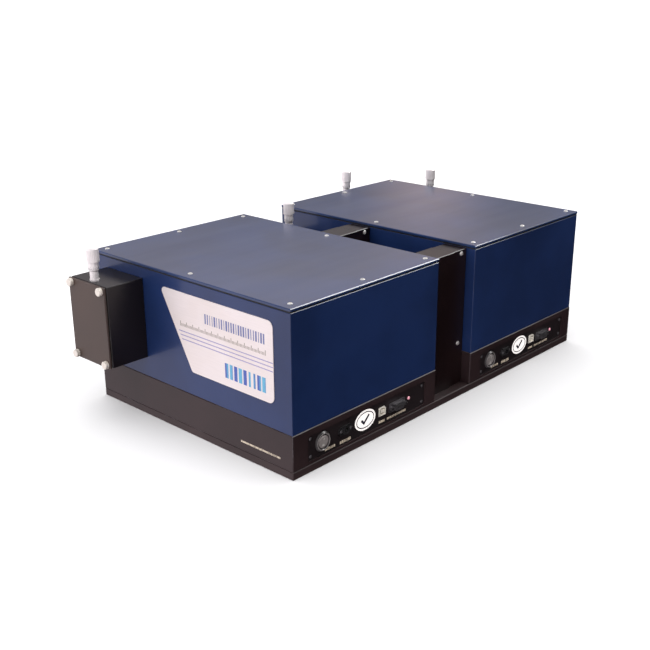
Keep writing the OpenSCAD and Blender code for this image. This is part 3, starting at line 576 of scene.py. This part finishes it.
def paint_frame():
    """Gives every CAD node its finish."""
    covers = [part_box(u + "_cover") for u in UNITS]
    lids = [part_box(u + "_lid") for u in UNITS]
    base = [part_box("base_plate"), *(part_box(u + "_tray") for u in UNITS)]
    posts = [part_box(s + "_post") for s in ("left", "right")]
    blued = powder_coat("navy_covers", (0.0085, 0.0255, 0.1), 0.42, covers, 0.5)
    # The lids' navy is a little greyer than the covers': partly their own paint, partly painted
    # sheen for the lit tops
    lidded = powder_coat("navy_lids", (0.0105, 0.029, 0.1), 0.4, lids, 0.8)
    base_coat = anodised("satin_black_base", (0.025, 0.0135, 0.0145), 0.42, base, 0.42)
    plate_coat = anodised("black_base_plate", (0.032, 0.019, 0.0195), 0.5, base[:1], 0.36)
    post_coat = anodised("black_posts", (0.0085, 0.003, 0.0033), 0.34, posts, 0.3, sealed=0.25)
    dark = anodised("optical_black", (0.012, 0.012, 0.013), 0.7, sheen=0.3)
    steel = machined("ground_steel", (0.5, 0.5, 0.51), 0.32, (1, 0.05, 1))
    chrome = machined("satin_chrome", (1.0, 0.95, 0.945), 0.3, (1, 1, 0.05), 0.38, 0.8)
    knurled = machined("knurled_steel", (0.86, 0.8, 0.72), 0.36, (1, 0.05, 1), 0.4)
    brassy = machined("machined_brass", (0.72, 0.5, 0.2), 0.3, (0.1, 1, 1))
    screws = machined("zinc_screws", (0.85, 0.83, 0.8), 0.32, (1, 1, 0.2), 0.5)
    nickel = machined("nickel_shell", (0.2, 0.19, 0.2), 0.34, (1, 1, 0.2), 0.8)
    mirror = coated_mirror()
    grating = ruled_grating()
    finishes = {
        "base_plate": plate_coat, "left_post": post_coat, "right_post": post_coat,
        "optical_benches": dark, "mirror_mounts": dark, "swing_holder": dark,
        "thumbscrews": knurled, "micrometer_sleeves": chrome, "turret_bushes": brassy,
        "turret_motors": moulded("motor_black", (0.02, 0.02, 0.021), 0.5),
        "concave_mirrors": mirror, "flat_mirrors": mirror, "swing_mirror": mirror,
        "control_panels": anodised("panel_black", (0.012, 0.0075, 0.0085), 0.45, rubbed_and_highlit=0.1),
        "switch_bezels": moulded("bezel_black", (0.03, 0.026, 0.026), 0.35),
        "power_jacks": moulded("jack_black", (0.012, 0.011, 0.012), 0.35),
        "usb_sockets": moulded("socket_white", (0.8, 0.75, 0.66), 0.4),
        "serial_sockets": nickel, "status_lights": lens("lamp_red", (0.85, 0.3, 0.36)),
        "circuit_boards": solder_mask(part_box("circuit_boards")),
        "housing_screws": screws, "panel_screws": nickel, "name_plate": foil(),
        # The dust cover's brown-black is paler than the slit boxes' black: partly its own finish,
        # partly painted light for its lit front face
        "dust_cover": anodised("satin_black_cover", (0.046, 0.027, 0.02), 0.42,
                               [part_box("dust_cover")], 0.6),
    }
    rocker = moulded("rocker_grey", (0.3, 0.27, 0.26), 0.28)
    for unit in UNITS:
        finishes.update({
            unit + "_tray": base_coat, unit + "_cover": blued, unit + "_lid": lidded,
            unit + "_turret": dark, unit + "_gratings": grating, unit + "_worm_wheel": brassy,
            unit + "_worm": steel, unit + "_rocker": rocker})
    for slit in SLITS:
        finishes.update({
            slit + "_slit_box": anodised("satin_black_" + slit, (0.0052, 0.0028, 0.0035), 0.36,
                                         [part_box(slit + "_slit_box")], 0.22, sealed=0.5),
            slit + "_thimble": chrome, slit + "_wedge": brassy,
            slit + "_blade_left": steel, slit + "_blade_right": steel})
    for name, node in frame["nodes"].items():
        finish = finishes.get(name, brassy)
        for i in range(len(node.material_slots)):
            node.material_slots[i].material = finish
        if not node.material_slots:
            node.data.materials.append(finish)


# ---------- name plate ----------

def name_plate_print(inks, trees):
    """Stripes, a bar spectrum, a ruler and a block of bars on the slanted plate."""
    low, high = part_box("name_plate")
    at = facing(FRONT, RIGHT, low)
    wide, tall = high.x - low.x, high.z - low.z
    lean = 49 * MM

    def left_edge(y):
        """Where a stripe starts beside the slanted end, at a height on the plate."""
        return lean * (1 - y / tall) + 3.5 * MM

    def stripes(bm):
        for y in (37.9 * MM, 42.9 * MM, 47.7 * MM):
            thick = 1.15 * MM
            outline = bar(left_edge(y), y, wide - 0.6 * MM, y + thick,
                          left_edge(y) - left_edge(y + thick))
            slab(bm, outline, at, INK)

    mesh_piece("plate_stripes", "root", stripes, inks["violet"])
    right = wide - 12 * MM
    place = at @ Matrix.Translation((right - 100 * MM, 67 * MM, 0))
    grown("plate_spectrum", "root", trees["bars"], place, inks["blue"], Pitch=4 * MM, Count=25,
          Height=12 * MM, Least=0.22, Most=0.72, Thick=INK, Seed=7)
    place = at @ Matrix.Translation((right - 143 * MM, 54.5 * MM, 0))
    grown("plate_ruler", "root", trees["ruler"], place, inks["brown"], Pitch=2.2 * MM, Count=66,
          Length=3.4 * MM, Width=0.85 * MM, Thick=INK)
    place = at @ Matrix.Translation((right - 68 * MM, 10 * MM, 0))
    grown("plate_bars", "root", trees["bars"], place, inks["bright"], Pitch=7.6 * MM, Count=9,
          Height=18 * MM, Least=0.3, Most=0.8, Thick=INK, Seed=3)


# ---------- control panels ----------

def panel_print(unit, inks, trees):
    """Oval sticker and captions of one control panel."""
    face = unit_box("control_panels", unit)[1].x
    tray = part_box(unit + "_tray")

    def on_panel(y, z):
        return facing(RIGHT, BACK, Vector((face, tray[0].y + y, z)))

    centre = on_panel(122.7 * MM, 31.1 * MM)
    half_wide, half_tall = 18.4 * MM, 12.8 * MM
    film = 0.1 * MM

    def disc(bm):
        slab(bm, oval(half_wide, half_tall), centre, film)

    def marks(bm):
        """A thin ring with a plain tick in it."""
        lifted = centre @ Matrix.Translation((0, 0, film))
        rim, line = 2.4 * MM, 1.3 * MM
        band(bm, oval(half_wide - rim, half_tall - rim),
             oval(half_wide - rim - line, half_tall - rim - line), lifted, INK)
        tick = [(-8, -0.2), (-6, 2.2), (-2.4, -1.6), (6, 6.4), (8, 4), (-2.4, -6)]
        slab(bm, [(x * MM, y * MM) for x, y in tick], lifted, INK)

    mesh_piece(unit + "_sticker", "root", disc, inks["paper"])
    mesh_piece(unit + "_sticker_print", "root", marks, inks["dark"])
    # Start and end along the panel, foot and height of each caption, in millimetres
    captions = {"switch": (53, 70.5, 16.4, 3.0), "jack": (78, 97.5, 15.6, 3.6),
                "usb": (147.5, 158.5, 17, 3.0), "serial": (163, 199, 17, 2.8)}
    pitch = 1.9 * MM
    for label, (start, end, foot, height) in captions.items():
        grown(f"{unit}_{label}_caption", "root", trees["bars"], on_panel(start * MM, foot * MM),
              inks["cream"], Pitch=pitch, Count=round((end - start) * MM / pitch),
              Height=height * MM, Least=0.3, Most=0.75, Thick=INK, Seed=len(label))


def switch_details(unit, inks, bright):
    """Bright trim round the power switch, and a bar and a ring on its rocker."""
    at = facing(RIGHT, BACK, joint_at(unit + "_rocker_press"))
    trim = [(9.3, 2.38), (9.55, 2.65), (10.3, 2.65), (10.6, 2.38)]
    mesh_piece(unit + "_switch_trim", "root",
               lambda bm: turned(bm, [(r * MM, z * MM) for r, z in trim], at), bright)
    tilt, dish = math.radians(8), math.radians(2.9)
    off, rise = 4.2 * MM, 2.03 * MM

    def half(side):
        return (at @ Matrix.Rotation(tilt, 4, "X") @ Matrix.Translation((0, side * off, rise))
                @ Matrix.Rotation(side * dish, 4, "X"))

    def marks(bm):
        slab(bm, bar(-0.35 * MM, -1.6 * MM, 0.35 * MM, 1.6 * MM), half(1), INK)
        band(bm, oval(1.5 * MM, 1.5 * MM, 24), oval(1.0 * MM, 1.0 * MM, 24), half(-1), INK)

    mesh_piece(unit + "_rocker_marks", unit + "_rocker", marks, inks["white"])


def socket_contacts(unit, trees, gold):
    """Gold pins and strips inside the serial socket and the data socket."""
    low, high = unit_box("serial_sockets", unit)
    middle = (low + high) / 2
    pin_foot, row_off = high.x - 4.9 * MM, 1.42 * MM
    for row, count in ((row_off, 5), (-row_off, 4)):
        place = facing(RIGHT, BACK, Vector((pin_foot, middle.y, middle.z + row)))
        grown(f"{unit}_serial_pins_{count}", "root", trees["pins"], place, gold,
              Pitch=2.75 * MM, Count=count, Radius=0.4 * MM, Length=3.6 * MM)
    low, high = unit_box("usb_sockets", unit)
    middle = (low + high) / 2
    # Half of the tongue's thickness, and the length and spacing of the two strips on each side
    tongue, strip, pitch = 1.6 * MM, 5 * MM, 2.4 * MM
    for side, name, turn, back in ((1, "top", 0, 0), (-1, "bottom", math.pi, -2 * pitch)):
        place = facing((0, 0, side), BACK,
                       Vector((high.x - 6 * MM, middle.y - pitch, middle.z + side * tongue)))
        place = (place @ Matrix.Rotation(turn, 4, "Z")
                 @ Matrix.Translation((back, -strip / 2, 0)))
        grown(f"{unit}_usb_strips_{name}", "root", trees["bars"], place, gold, Pitch=pitch,
              Count=2, Height=strip, Least=0.5, Most=0.55, Thick=0.12 * MM, Seed=1)


def lid_gasket(unit, gasket_and_gap_shade):
    """Black rubber strip in the groove between a cover and its lid; its black also stands in for
    the shadow in the gap under the lid (painted shade).
    """
    cover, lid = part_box(unit + "_cover"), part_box(unit + "_lid")
    thick, sunk, wide = 1.4 * MM, 0.35 * MM, 0.6 * MM
    slack = 0.1 * MM
    at = Matrix.Translation((0, 0, lid[0].z - thick - slack))

    def corners(inset):
        return bar(cover[0].x + inset, cover[0].y + inset, cover[1].x - inset, cover[1].y - inset)

    mesh_piece(unit + "_lid_gasket", "root",
               lambda bm: band(bm, corners(sunk), corners(sunk + wide), at, thick), gasket_and_gap_shade)


def tray_print(inks, trees):
    """Small row of bars low on the front of the front tray."""
    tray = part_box("front_tray")
    at = facing(FRONT, RIGHT, Vector((tray[0].x + 266 * MM, tray[0].y, 20.4 * MM)))
    grown("tray_caption", "root", trees["bars"], at, inks["cream"], Pitch=1.9 * MM, Count=34,
          Height=2.4 * MM, Least=0.25, Most=0.7, Thick=INK, Seed=11)


# ---------- micrometers ----------

def micrometer_scales(slit, inks, trees):
    """Divisions on a thimble's barrel and on its sleeve."""
    at = joint_at(slit + "_thimble_turn")
    barrel_r, sleeve_r, thimble_long = 6.5 * MM, 5.25 * MM, 28 * MM
    barrel_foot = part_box(slit + "_thimble")[1].z - thimble_long
    place = Matrix.Translation((at.x, at.y, barrel_foot + 1.8 * MM))
    grown(slit + "_thimble_scale", slit + "_thimble", trees["ring"], place, inks["dark"],
          Radius=barrel_r, Count=50, Length=2.6 * MM, Width=0.16 * MM, Thick=0.08 * MM)
    # The sleeve's divisions are sunk and centred, so that the thimble clears them
    sunk, aside, toward_front = 0.05 * MM, 0.6 * MM, math.radians(-47)
    place = (Matrix.Translation((at.x, at.y, barrel_foot - 7 * MM))
             @ Matrix.Rotation(toward_front, 4, "Z")
             @ facing(RIGHT, UP, Vector((sleeve_r - sunk, 0, 0)))
             @ Matrix.Translation((0, -aside, 0)))
    grown(slit + "_sleeve_scale", "root", trees["ruler"], place, inks["dark"],
          Pitch=1.0 * MM, Count=8, Length=0.7 * MM, Width=0.14 * MM, Thick=0.06 * MM)


# ---------- studio ----------

class Sky(Nodes):
    """World whose brightness is painted by direction."""

    def __init__(self, world):
        world.use_nodes = True
        super().__init__(world.node_tree)
        self.direction = self.add("ShaderNodeTexCoord", output="Generated")
        self.x, self.y, self.z = (
            self.add("ShaderNodeSeparateXYZ", [self.direction], output=i) for i in range(3))

    def toward(self, x, y, z):
        """Cosine of the angle between each direction and a given one."""
        aim = tuple(Vector((x, y, z)).normalized())
        return self.add("ShaderNodeVectorMath", [self.direction, aim], output=1,
                        operation="DOT_PRODUCT")

    def scaled(self, colour, by):
        return self.add("ShaderNodeVectorMath", {0: colour, "Scale": by}, operation="SCALE")


def studio_light():
    """Soft overhead light, a pale room on the left and in front, a dark one at the right back."""
    world = bpy.data.worlds.new("studio")
    bpy.context.scene.world = world
    world.cycles.sampling_method = "NONE"
    sky = Sky(world)
    # What lights the surfaces: darker towards the right and the back
    front = sky.toward(-0.55, -0.83, 0).rise(-0.3, 0.75)
    room = sky.mix(front, (0.05, 0.05, 0.055), (1.15, 1.12, 1.18))
    ground = sky.mix(front, (0.14, 0.125, 0.12), (1.15, 1.12, 1.18))
    dome = sky.mix(sky.z.rise(-0.1, 0.05), ground, room)
    dome = sky.mix(sky.z.rise(0.45, 0.75), dome, (2.5, 2.48, 2.5))
    # What gloss mirrors: a bright wall in front, a dim one behind with one soft window
    wall = sky.mix(sky.z.rise(-0.42, -0.2), (0.95, 0.88, 0.92), (1.5, 1.4, 1.46))
    wall = sky.mix(sky.toward(-0.6, -0.74, -0.3).rise(0.93, 0.995), sky.scaled(wall, 0.62), wall)
    far = sky.mix(sky.z.rise(0.19, 0.27), (0.14, 0.15, 0.18), (0.51, 0.47, 0.47))
    far = sky.mix(sky.z.rise(0.255, 0.31), far, (0.9, 0.82, 0.82))
    seen = sky.mix(sky.y.rise(0.1, 0.45), wall, far)
    seen = sky.mix(sky.z.rise(0.35, 0.6), seen, (0.14, 0.14, 0.16))
    seen = sky.mix(sky.toward(0.66, 0.72, -0.2).rise(0.35, 0.75), seen, (0.015, 0.013, 0.015))
    beside = sky.toward(0.8, 0.6, 0).math("ABSOLUTE").rise(0.0, 0.085)
    streak = (1 - beside) * (1 - sky.z.rise(0.2, 0.29)) * sky.y.rise(0.2, 0.4)
    seen = sky.mix(streak * 0.85, seen, (1.0, 0.76, 0.68))
    light = sky.mix(sky.add("ShaderNodeLightPath", output="Is Glossy Ray"), dome, seen)
    backdrop = (0.93, 0.93, 0.93)
    shown = sky.mix(sky.add("ShaderNodeLightPath", output="Is Camera Ray"), light, backdrop)
    sky.feed(world.node_tree.nodes["Background"].inputs["Color"], shown)


def rim_light():
    """Lamp behind on the right that only draws the bright lines along bevelled edges."""
    light = bpy.data.lights.new("rim", "AREA")
    light.shape, light.size, light.energy = "DISK", 0.95, 42
    lamp = bpy.data.objects.new("rim", light)
    lamp.location = Vector((0.327, 0.665, 0.67)) * 3
    lamp.rotation_euler = lamp.location.to_track_quat("Z", "Y").to_euler()
    lamp.visible_diffuse = False
    bpy.context.scene.collection.objects.link(lamp)


def floor():
    """Plain pale floor."""
    reach = 30.0
    mesh = bpy.data.meshes.new("floor")
    corners = [(-reach, -reach, 0), (reach, -reach, 0), (reach, reach, 0), (-reach, reach, 0)]
    mesh.from_pydata(corners, [], [(0, 1, 2, 3)])
    pale = Finish("pale_floor", (0.75, 0.75, 0.75), 0.9, Specular_IOR_Level=0.0)
    greys = [(level, level, level) for level in (0.745, 0.755)]
    pale.set("Base Color", pale.mix(pale.noise(1.5), *greys))
    mesh.materials.append(pale.material)
    obj = bpy.data.objects.new("floor", mesh)
    bpy.context.scene.collection.objects.link(obj)
    obj.visible_glossy = obj.visible_diffuse = False


def camera():
    """Looks down on the instrument from its front right corner."""
    lens = bpy.data.cameras.new("camera")
    lens.lens, lens.sensor_width = 54.0, 36
    lens.clip_start, lens.clip_end = 0.01, 100
    turn, lift, roll = math.radians(43.01), math.radians(19.8515), math.radians(-0.3055)
    back = Vector((math.sin(turn) * math.cos(lift), -math.cos(turn) * math.cos(lift),
                   math.sin(lift)))
    level = Vector((0, 0, 1)).cross(back).normalized()
    upright = back.cross(level)
    right = level * math.cos(roll) + upright * math.sin(roll)
    up = upright * math.cos(roll) - level * math.sin(roll)
    obj = bpy.data.objects.new("camera", lens)
    obj.matrix_world = (Matrix.Translation((0.8706, -0.9582, 0.526))
                        @ Matrix((right, up, back)).transposed().to_4x4())
    bpy.context.scene.collection.objects.link(obj)
    bpy.context.scene.camera = obj
    bpy.context.scene.view_settings.view_transform = "Standard"


def build():
    """Studio first, then the CAD nodes' finishes, then the added pieces."""
    camera()
    floor()
    studio_light()
    rim_light()
    paint_frame()
    deep_blue, sky_blue = (0.07, 0.11, 0.42), (0.13, 0.42, 0.62)
    inks = {
        "dark": ink("ink_dark", (0.03, 0.03, 0.05)),
        "blue": ink("ink_blue", (0.14, 0.16, 0.34)),
        "violet": ink("ink_violet", (0.3, 0.27, 0.47)),
        "brown": ink("ink_brown", (0.2, 0.17, 0.13)),
        "white": ink("ink_white", (0.85, 0.83, 0.78)),
        # The cream captions and the sticker paper glow a little: painted light that brightens them
        "cream": ink("ink_cream", (0.8, 0.68, 0.52), 0.1),
        "paper": ink("sticker_paper", (0.97, 0.91, 0.86), 0.6),
        "bright": striped_ink("ink_bright_blue", deep_blue, sky_blue, 9 * MM)}
    trees = {"ring": ring_scale_tree(), "ruler": ruler_tree(), "bars": bar_row_tree(),
             "pins": pin_row_tree()}
    gold = machined("contact_gold", (0.9, 0.66, 0.28), 0.25, (1, 1, 0.1))
    trim = machined("switch_trim_grey", (0.4, 0.37, 0.36), 0.3, (1, 1, 0.1), 0.6)
    # Near-black strip for the lid gaskets; its black also paints the shadow in the gap under each
    # lid
    gasket_and_gap_shade = moulded("gasket_rubber", (0.008, 0.008, 0.009), 0.6)
    name_plate_print(inks, trees)
    tray_print(inks, trees)
    for unit in UNITS:
        panel_print(unit, inks, trees)
        switch_details(unit, inks, trim)
        socket_contacts(unit, trees, gold)
        lid_gasket(unit, gasket_and_gap_shade)
    for slit in SLITS:
        micrometer_scales(slit, inks, trees)


build()
